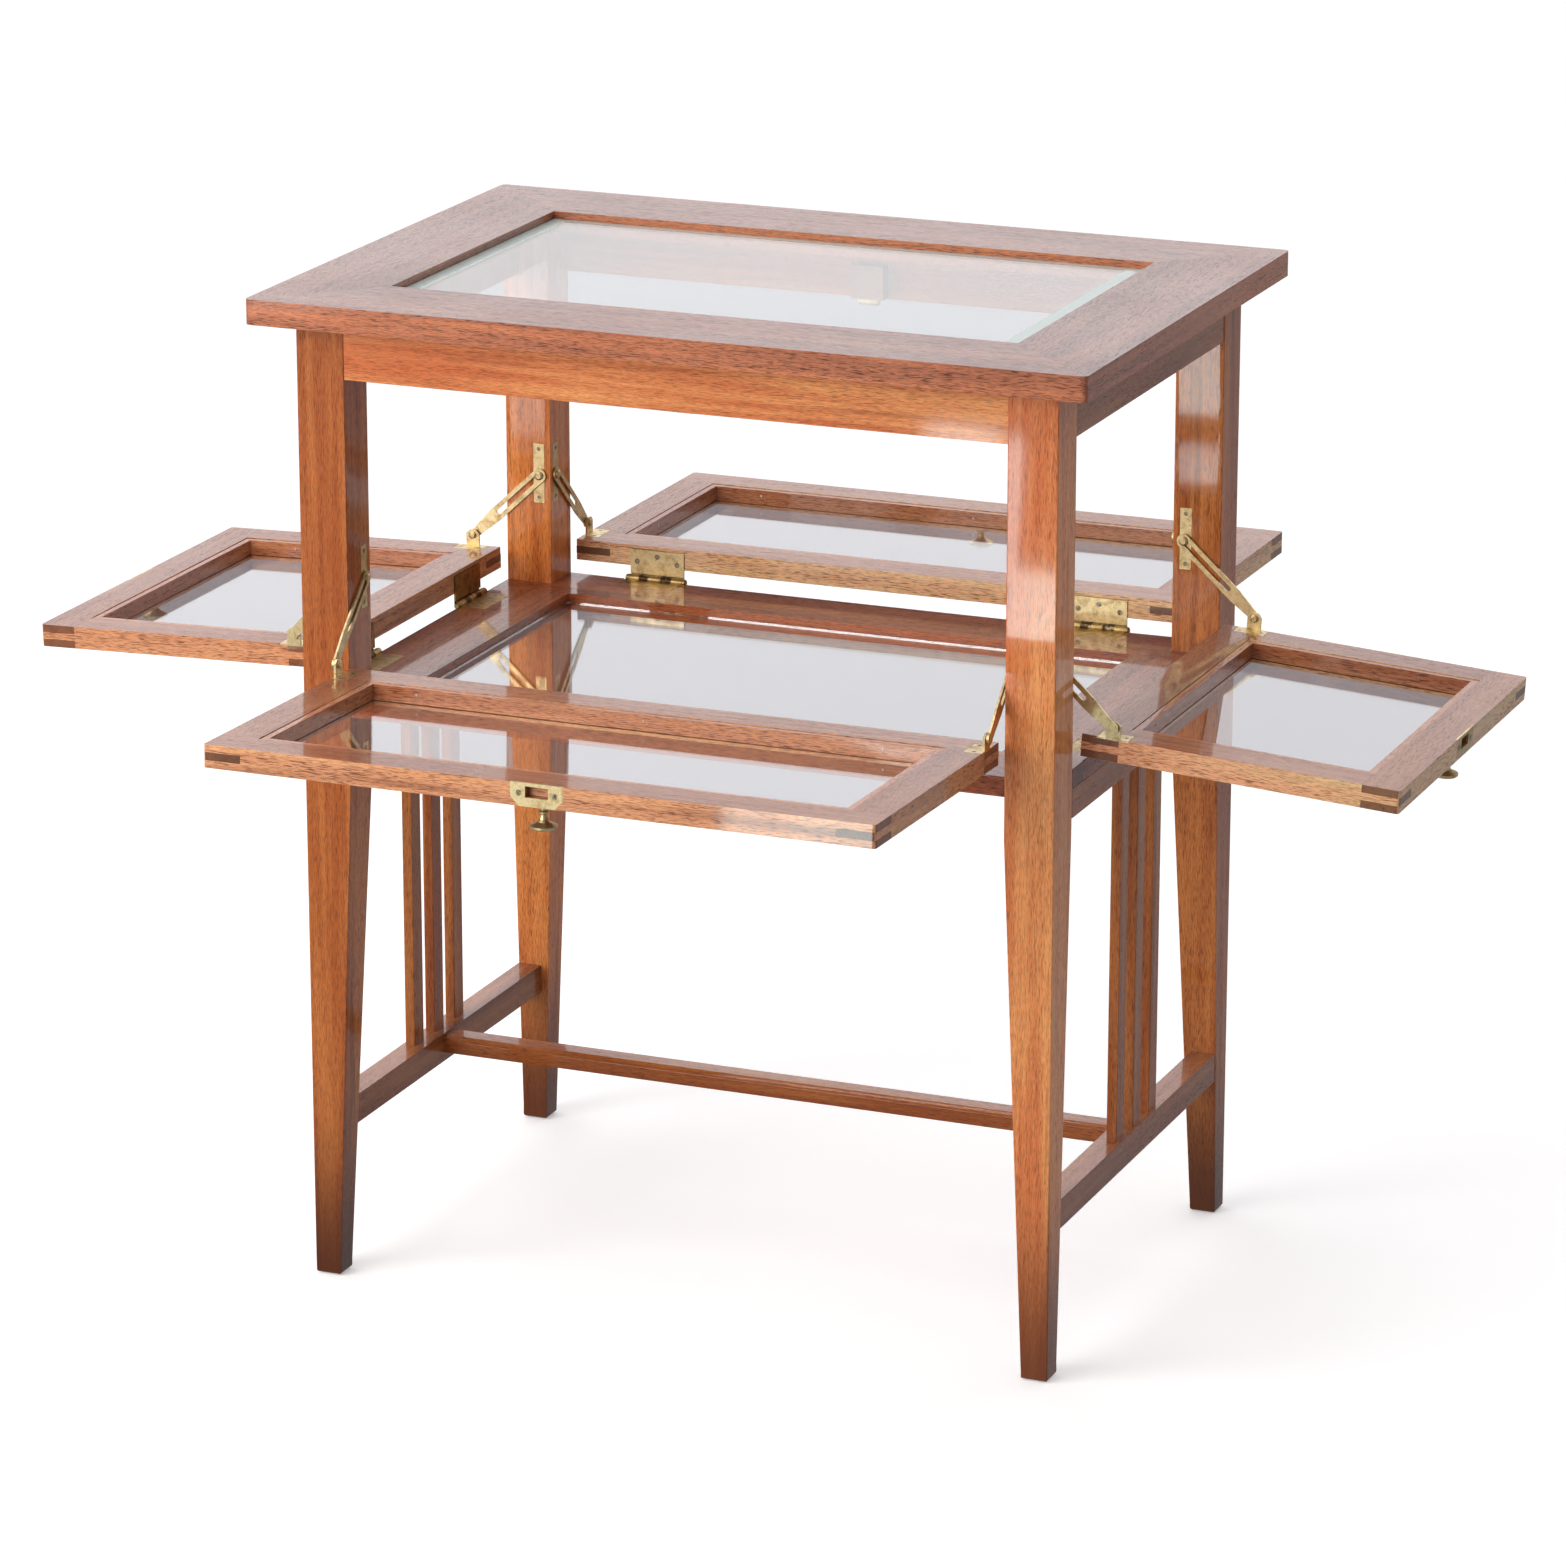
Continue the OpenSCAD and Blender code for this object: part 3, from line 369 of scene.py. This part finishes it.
BRASS = {
    # rubbed, aged, tarnish
    "plate": (srgb(216, 196, 150), srgb(168, 142, 98), srgb(80, 58, 38)),
    # the shelf and left rows are darker brass: aged, with a painted reflection of the wood on the shelf's
    # leaves and painted shade on the left hinges
    "shelf": (srgb(176, 148, 98), srgb(112, 84, 50), srgb(48, 32, 22)),
    "left": (srgb(168, 138, 84), srgb(104, 78, 42), srgb(44, 30, 20)),
}


def brass(name, tint="plate", axis_point=None, axis=None):
    """Aged brass with speckled tarnish; within a knuckle's radius of the hinge axis it is nearly black,
    tarnish together with painted shade on the barrel.
    """
    mat, nt, bsdf = new_material(name)
    where = object_coords(nt)
    cloud = noise(nt, where, scale=160.0, detail=4.0, rough=0.7)
    speck = noise(nt, where, scale=1100.0, detail=2.0, rough=0.6)
    scratch = noise(nt, vector_node(nt, "MULTIPLY", where, (3000.0, 260.0, 500.0)), detail=2.0)
    clean, aged, dark = BRASS[tint]
    colour = mix(nt, ramp(nt, cloud, 0.40, 0.78), clean, aged)
    colour = mix(nt, ramp(nt, speck, 0.60, 0.74, 0.0, 0.65), colour, dark)
    rough = math_node(nt, "MULTIPLY_ADD", scratch, 0.12, ramp(nt, cloud, 0.3, 0.7, 0.22, 0.42))
    if axis is not None:
        from_axis = vector_node(nt, "SUBTRACT", where, tuple(axis_point))
        along = nt.nodes.new("ShaderNodeVectorMath")
        along.operation = "SCALE"
        along.inputs[0].default_value = tuple(axis)
        nt.links.new(vector_node(nt, "DOT_PRODUCT", from_axis, tuple(axis)), along.inputs["Scale"])
        away = vector_node(nt, "LENGTH", vector_node(nt, "SUBTRACT", from_axis, along.outputs[0]))
        # the knuckle painted nearly black: tarnish together with painted shade on the barrel
        knuckle = ramp(nt, away, 3.3 * MM, 4.2 * MM, 1.0, 0.0)
        knuckle = math_node(nt, "MULTIPLY", knuckle, ramp(nt, cloud, 0.30, 0.52, 0.35, 0.95))
        colour = mix(nt, knuckle, colour, srgb(58, 36, 22))
    nt.links.new(colour, bsdf.inputs["Base Color"])
    nt.links.new(rough, bsdf.inputs["Roughness"])
    bsdf.inputs["Metallic"].default_value = 1.0
    bump(nt, bsdf, math_node(nt, "ADD", cloud, math_node(nt, "MULTIPLY", scratch, 0.4)), 0.25, 0.0002)
    return mat


def browned(name, pale, deep, metallic=1.0):
    """Metal gone dull with age: pale where it is rubbed, deep where it is not."""
    mat, nt, bsdf = new_material(name)
    where = object_coords(nt)
    cloud = noise(nt, where, scale=420.0, detail=3.0, rough=0.7)
    colour = mix(nt, ramp(nt, cloud, 0.35, 0.7), pale, deep)
    nt.links.new(colour, bsdf.inputs["Base Color"])
    nt.links.new(ramp(nt, cloud, 0.3, 0.7, 0.25, 0.5), bsdf.inputs["Roughness"])
    bsdf.inputs["Metallic"].default_value = metallic
    bump(nt, bsdf, cloud, 0.3, 0.0002)
    return mat


def glass(name, tint, through):
    """Clear polished glass; lamps shine through it by a plain tinted Transparent shader."""
    mat, nt, bsdf = new_material(name)
    out = next(n for n in nt.nodes if n.type == "OUTPUT_MATERIAL")
    haze = noise(nt, object_coords(nt), scale=14.0, detail=3.0)
    nt.links.new(ramp(nt, haze, 0.4, 0.8, 0.0, 0.006), bsdf.inputs["Roughness"])
    bsdf.inputs["Base Color"].default_value = tint
    bsdf.inputs["Transmission Weight"].default_value = 1.0
    bsdf.inputs["IOR"].default_value = 1.5
    clear = nt.nodes.new("ShaderNodeBsdfTransparent")
    clear.inputs["Color"].default_value = through
    path = nt.nodes.new("ShaderNodeLightPath")
    both = nt.nodes.new("ShaderNodeMixShader")
    nt.links.new(path.outputs["Is Shadow Ray"], both.inputs[0])
    nt.links.new(bsdf.outputs[0], both.inputs[1])
    nt.links.new(clear.outputs[0], both.inputs[2])
    nt.links.new(both.outputs[0], out.inputs["Surface"])
    return mat


def ground_glass(name):
    """The ground bevel round the plate: cloudy, pale green where the light catches it."""
    mat, nt, bsdf = new_material(name)
    cloud = noise(nt, object_coords(nt), scale=300.0, detail=2.0)
    nt.links.new(mix(nt, cloud, (0.60, 0.80, 0.76, 1), (0.80, 0.92, 0.89, 1)), bsdf.inputs["Base Color"])
    nt.links.new(ramp(nt, cloud, 0.3, 0.7, 0.12, 0.22), bsdf.inputs["Roughness"])
    bsdf.inputs["Transmission Weight"].default_value = 0.35
    bsdf.inputs["IOR"].default_value = 1.5
    return mat


def set_material(obj, mat):
    obj.data.materials.clear()
    obj.data.materials.append(mat)


# ---------------------------------------------------------------- wooden pieces


def flap_matrix(side):
    """From a flap's own frame (X along the hinge, Y outward, Z up, level) to the table's."""
    joint = JOINTS[side + "_flap_hinge"]
    droop = math.radians(joint["range_deg"][1] - 90.0)
    along = Vector(joint["axis"])
    up = Vector((0, 0, 1))
    out = up.cross(along)
    turn = Matrix((along, out, up)).transposed().to_4x4()
    return Matrix.Translation(Vector(joint["pos_m"])) @ turn @ Matrix.Rotation(-droop, 4, "X")


def islands(bm):
    """The mesh's faces in groups that hang together."""
    left = set(bm.faces)
    while left:
        group, stack = set(), [left.pop()]
        while stack:
            f = stack.pop()
            group.add(f)
            for e in f.edges:
                for g in e.link_faces:
                    if g in left:
                        left.discard(g)
                        stack.append(g)
        yield group


def solids_of(node):
    """The node's separate solids as welded bmeshes, in order of where their middles are."""
    source = bmesh.new()
    source.from_mesh(NODES[node].data)
    bmesh.ops.remove_doubles(source, verts=source.verts, dist=WELD)
    parts = []
    for group in islands(source):
        part = bmesh.new()
        seen = {}
        for f in group:
            corners = []
            for v in f.verts:
                if v not in seen:
                    seen[v] = part.verts.new(v.co)
                corners.append(seen[v])
            part.faces.new(corners)
        parts.append(part)
    source.free()
    parts.sort(key=lambda b: tuple(round(c, 4) for c in centre_of(b)))
    return parts


def centre_of(bm):
    """The mean of the mesh's corners."""
    total = Vector((0, 0, 0))
    for v in bm.verts:
        total += v.co
    return total / len(bm.verts)


def extent(points):
    """The lowest and the highest corner of the box round the points."""
    low = Vector([min(p[i] for p in points) for i in range(3)])
    high = Vector([max(p[i] for p in points) for i in range(3)])
    return low, high


def outer_edges(bm, to_local, low, high, near):
    """Convex edges that lie on one face of the node's own box and close to another."""
    chosen = []
    for e in bm.edges:
        if len(e.link_faces) != 2 or e.calc_face_angle_signed(0.0) < ARRIS_ANGLE:
            continue
        p = to_local @ ((e.verts[0].co + e.verts[1].co) / 2)
        gaps = sorted(min(abs(p[i] - low[i]), abs(p[i] - high[i])) for i in range(3))
        if gaps[0] < 0.05 * MM and gaps[1] < near:
            chosen.append(e)
    return chosen


def long_edges(bm, least):
    """Convex edges longer than least."""
    paired = [e for e in bm.edges if len(e.link_faces) == 2 and e.calc_length() > least]
    return [e for e in paired if e.calc_face_angle_signed(0.0) > ARRIS_ANGLE]


def sole_edges(bm):
    """The edges round the lowest face."""
    floor = min(v.co.z for v in bm.verts) + 0.01 * MM
    low = [e for e in bm.edges if all(v.co.z < floor for v in e.verts)]
    return [e for e in low if e.calc_face_angle(0.0) > ARRIS_ANGLE]


def ease_edges(bm, edges, width, segments, profile):
    bmesh.ops.bevel(
        bm, geom=edges, offset=width, segments=segments, profile=profile, affect="EDGES", clamp_overlap=True
    )


def finish_piece(bm, name, body, slot, mat):
    """Makes the bmesh a smooth-shaded piece that rides on a body."""
    mesh = bpy.data.meshes.new(name)
    bmesh.ops.recalc_face_normals(bm, faces=bm.faces)
    for e in bm.edges:
        e.smooth = len(e.link_faces) == 2 and e.calc_face_angle(0.0) < SMOOTH_ANGLE
    bm.to_mesh(mesh)
    bm.free()
    for p in mesh.polygons:
        p.use_smooth = True
    obj = bpy.data.objects.new(name, mesh)
    bpy.context.collection.objects.link(obj)
    mesh.materials.append(mat)
    soft = obj.modifiers.new("normals", "WEIGHTED_NORMAL")
    soft.keep_sharp = True
    soft.weight = 80
    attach(obj, body)
    return obj


def round_corners(bm, low, high, radius, cuts=5):
    """Rounds the box's upright corners by slicing them along planes that touch a circle."""
    for sx in (-1, 1):
        for sy in (-1, 1):
            corner = Vector((high.x if sx > 0 else low.x, high.y if sy > 0 else low.y, 0))
            heart = corner - Vector((sx, sy, 0)) * radius
            for k in range(1, cuts + 1):
                t = math.radians(90 * k / (cuts + 1))
                n = Vector((sx * math.cos(t), sy * math.sin(t), 0))
                cut = bmesh.ops.bisect_plane(
                    bm, geom=bm.verts[:] + bm.edges[:] + bm.faces[:], dist=1e-6,
                    plane_co=heart + n * radius, plane_no=n, clear_outer=True,
                )
                rim = [e for e in cut["geom_cut"] if isinstance(e, bmesh.types.BMEdge)]
                if rim:
                    bmesh.ops.holes_fill(bm, edges=rim, sides=0)


def wooden(
    node, look, ease, near=None, least=None, to_local=None, seed=0, tone=1.0, edge_wear_and_light=None, edge_sheen=0.0,
    corner=None, foot=None,
):
    """Replaces a wooden node by its solids, each eased along its arrises and with its own grain.

    look is one of WOOD_LOOKS, or three of them for pieces that run along X, Y and Z; tone is one number,
    or one for each piece. The eased arrises are those of the node's own box that lie within near of a
    second face of it or, without near, those longer than least."""
    to_local = to_local or Matrix.Identity(4)
    from_local = to_local.to_3x3().inverted()
    parts = solids_of(node)
    low, high = extent([to_local @ v.co for b in parts for v in b.verts])
    face_up = from_local @ Vector((0, 0, 1)) if edge_wear_and_light else None
    made = []
    for i, bm in enumerate(parts):
        bmesh.ops.dissolve_limit(bm, angle_limit=FLAT_ANGLE, verts=bm.verts, edges=bm.edges)
        if corner:
            round_corners(bm, low, high, corner)
        edges = long_edges(bm, least) if near is None else outer_edges(bm, to_local, low, high, near)
        if edges:
            ease_edges(bm, edges, ease, 2, 0.6)
        p_low, p_high = extent([to_local @ v.co for v in bm.verts])
        size = p_high - p_low
        longest = max(range(3), key=lambda k: size[k])
        if foot:
            ease_edges(bm, sole_edges(bm), foot, 3, 0.5)
        grain = from_local @ Vector([float(k == longest) for k in range(3)])
        name = "%s_%d" % (node, i + 1) if len(parts) > 1 else node + "_shaped"
        piece_look = look if isinstance(look, str) else look[longest]
        piece_tone = tone[i] if isinstance(tone, tuple) else tone * TONE_STEPS[i % len(TONE_STEPS)]
        mat = wood(piece_look, grain, seed + i, piece_tone, face_up, edge_wear_and_light or 1.0, edge_sheen)
        made.append(finish_piece(bm, name, BODY_OF[node], SLOT_OF[node], mat))
    for obj in made:
        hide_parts(node)


def make_woodwork():
    # the legs' tones carry painted light: the front-right leg, in the paler apron wood, is painted lit, and
    # the back-left leg is lightened with a painted sheen
    legs_with_painted_light = (
        ("front_left", "frame", 1.2), ("front_right", "apron", 1.46),
        ("back_left", "frame", 1.6), ("back_right", "frame", 1.2),
    )
    for i, (corner, look, tone) in enumerate(legs_with_painted_light):
        wooden("leg_" + corner, look, 1.0 * MM, least=90 * MM, seed=3 + 7 * i, tone=tone, foot=2.6 * MM)
    # the top's edges painted lighter than its faces: worn edge grain together with painted light
    wooden(
        "top_frame", "top", 1.6 * MM, near=5 * MM, seed=41, edge_wear_and_light=2.1, edge_sheen=0.05,
        corner=4.0 * MM,
    )
    # tones of the left, front, back and right aprons: the front is painted lit and the back, whose inner
    # face shows through the glass, painted shaded
    apron_light_shade_tones = (0.9, 1.34, 0.8, 0.95)
    wooden(
        "upper_aprons", ("apron", "frame", "frame"), 0.7 * MM, least=90 * MM, seed=52,
        tone=apron_light_shade_tones,
    )
    # the shelf's edges painted lighter than its faces: worn edge grain together with painted light
    wooden("shelf_frame", "top", 0.8 * MM, near=2 * MM, seed=63, tone=1.2, edge_wear_and_light=1.5)
    wooden("end_aprons", "frame", 0.7 * MM, least=90 * MM, seed=74)
    wooden("stretchers", "frame", 0.8 * MM, least=90 * MM, seed=85, tone=0.95)
    wooden("slats", "frame", 0.7 * MM, least=90 * MM, seed=96, tone=0.9)
    for k, side in enumerate(SIDES):
        # each flap's edges painted lighter and paler by side: worn edge grain, painted light and a painted
        # sheen
        edge_wear_and_light, edge_sheen = FLAP_EDGE_WEAR_LIGHT_SHEEN[side]
        local = flap_matrix(side).inverted()
        wooden(
            side + "_flap_frame", ("rail", "stile", "stile"), 1.0 * MM, near=3 * MM, to_local=local,
            seed=110 + 10 * k, tone=0.72, edge_wear_and_light=edge_wear_and_light, edge_sheen=edge_sheen,
        )
        wooden(side + "_flap_beads", "bead", 0.6 * MM, least=60 * MM, to_local=local, seed=160 + 10 * k)


# ---------------------------------------------------------------- metalwork and glass


def make_metalwork():
    plain = brass("brass_aged")
    screws = browned("steel_screws", srgb(160, 148, 124), srgb(84, 70, 54))
    catches = browned("catch_case", srgb(160, 112, 78), srgb(118, 80, 56), 0.25)
    hinge = {}
    for s in SIDES:
        joint = JOINTS[s + "_flap_hinge"]
        # the left hinges take the darker brass, aged and with painted shade
        tint = "left" if s == "left" else "plate"
        hinge[s] = brass("brass_hinge_" + s, tint, joint["pos_m"], joint["axis"])
    # the shelf's hinge leaves take the darker brass, aged and with a painted reflection of the flaps' wood
    shelf = brass("brass_shelf_painted_reflection", "shelf")
    for node, obj in NODES.items():
        if "screws" in node:
            set_material(obj, screws)
        elif node.endswith("_flap_hinge_leaves"):
            set_material(obj, hinge[node.split("_")[0]])
        elif node == "catch_cases":
            set_material(obj, catches)
        elif node == "case_hinges":
            set_material(obj, shelf)
        elif SLOT_OF[node] == "brass":
            set_material(obj, plain)


def pane(node, mat, bevel=None):
    """The node's own pane, set back a hair from the wood it beds on so that no two faces share a plane.

    bevel is the material of its sloping faces."""
    bm = bmesh.new()
    bm.from_mesh(NODES[node].data)
    bmesh.ops.remove_doubles(bm, verts=bm.verts, dist=WELD)
    bmesh.ops.dissolve_limit(bm, angle_limit=FLAT_ANGLE, verts=bm.verts, edges=bm.edges)
    bm.normal_update()
    for v in bm.verts:
        v.co -= v.normal * v.calc_shell_factor() * BED_GAP
    if bevel:
        for f in bm.faces:
            f.material_index = int(BEVEL_SLOPE[0] < f.normal.z < BEVEL_SLOPE[1])
    mesh = bpy.data.meshes.new(node + "_pane")
    bm.to_mesh(mesh)
    bm.free()
    obj = bpy.data.objects.new(node + "_pane", mesh)
    bpy.context.collection.objects.link(obj)
    mesh.materials.append(mat)
    if bevel:
        mesh.materials.append(bevel)
    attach(obj, BODY_OF[node])
    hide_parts(node)


def make_glass():
    thin = glass("glass_pane", (0.93, 0.94, 0.965, 1), (0.93, 0.95, 0.95, 1))
    plate = glass("glass_plate", (0.885, 0.93, 0.945, 1), (0.90, 0.95, 0.93, 1))
    ground = ground_glass("glass_bevel")
    for node in [n for n in NODES if SLOT_OF[n] == "plate_glass"]:
        if node == "top_glass":
            pane(node, plate, ground)
        else:
            pane(node, thin)


# ---------------------------------------------------------------- panel pins


def pin_head(bm, place):
    """A small domed pin head at place, a matrix whose Z points out of the wood."""
    loops = []
    for share, lift in PIN_RINGS:
        r, z = share * PIN_RADIUS, lift * PIN_RISE
        turns = [2 * math.pi * k / PIN_SIDES for k in range(PIN_SIDES)]
        loops.append([bm.verts.new(place @ Vector((r * math.cos(t), r * math.sin(t), z))) for t in turns])
    for low, high in zip(loops, loops[1:]):
        for k in range(PIN_SIDES):
            n = (k + 1) % PIN_SIDES
            bm.faces.new((low[k], low[n], high[n], high[k]))
    bm.faces.new(loops[-1])
    bm.faces.new(list(reversed(loops[0])))


def make_pins(mat):
    """Panel pins through each flap's beads, on the walls that face the glass."""
    for side in SIDES:
        to_world = flap_matrix(side)
        to_local = to_world.inverted()
        low, high = extent([to_local @ v.co for v in NODES[side + "_flap_beads"].data.vertices])
        height = (low.z + high.z) / 2 + 1.0 * MM
        middle = (low.x + high.x) / 2
        reach = (high.x - low.x) / 2
        along_rails = (-0.80, 0.02, 0.82) if reach > 0.2 else (-0.66, 0.70)
        places = []
        for t in along_rails:
            x = middle + t * reach
            places += [(x, low.y + BEAD_WALL, -90, "X"), (x, high.y - BEAD_WALL, 90, "X")]
        for t in (0.3, 0.75):
            y = low.y + (high.y - low.y) * t
            places += [(low.x + BEAD_WALL, y, 90, "Y"), (high.x - BEAD_WALL, y, -90, "Y")]
        bm = bmesh.new()
        for x, y, turn, axis in places:
            place = Matrix.Translation((x, y, height)) @ Matrix.Rotation(math.radians(turn), 4, axis)
            pin_head(bm, to_world @ place)
        finish_piece(bm, side + "_bead_pins", side + "_flap", "steel_screws", mat)


# ---------------------------------------------------------------- the scene

bpy.context.scene.view_settings.view_transform = "Standard"
make_camera()
make_world()
make_floor()
for box in SOFTBOXES:
    softbox(*box)
make_woodwork()
make_metalwork()
make_glass()
make_pins(browned("steel_pins", srgb(214, 204, 190), srgb(112, 84, 66)))
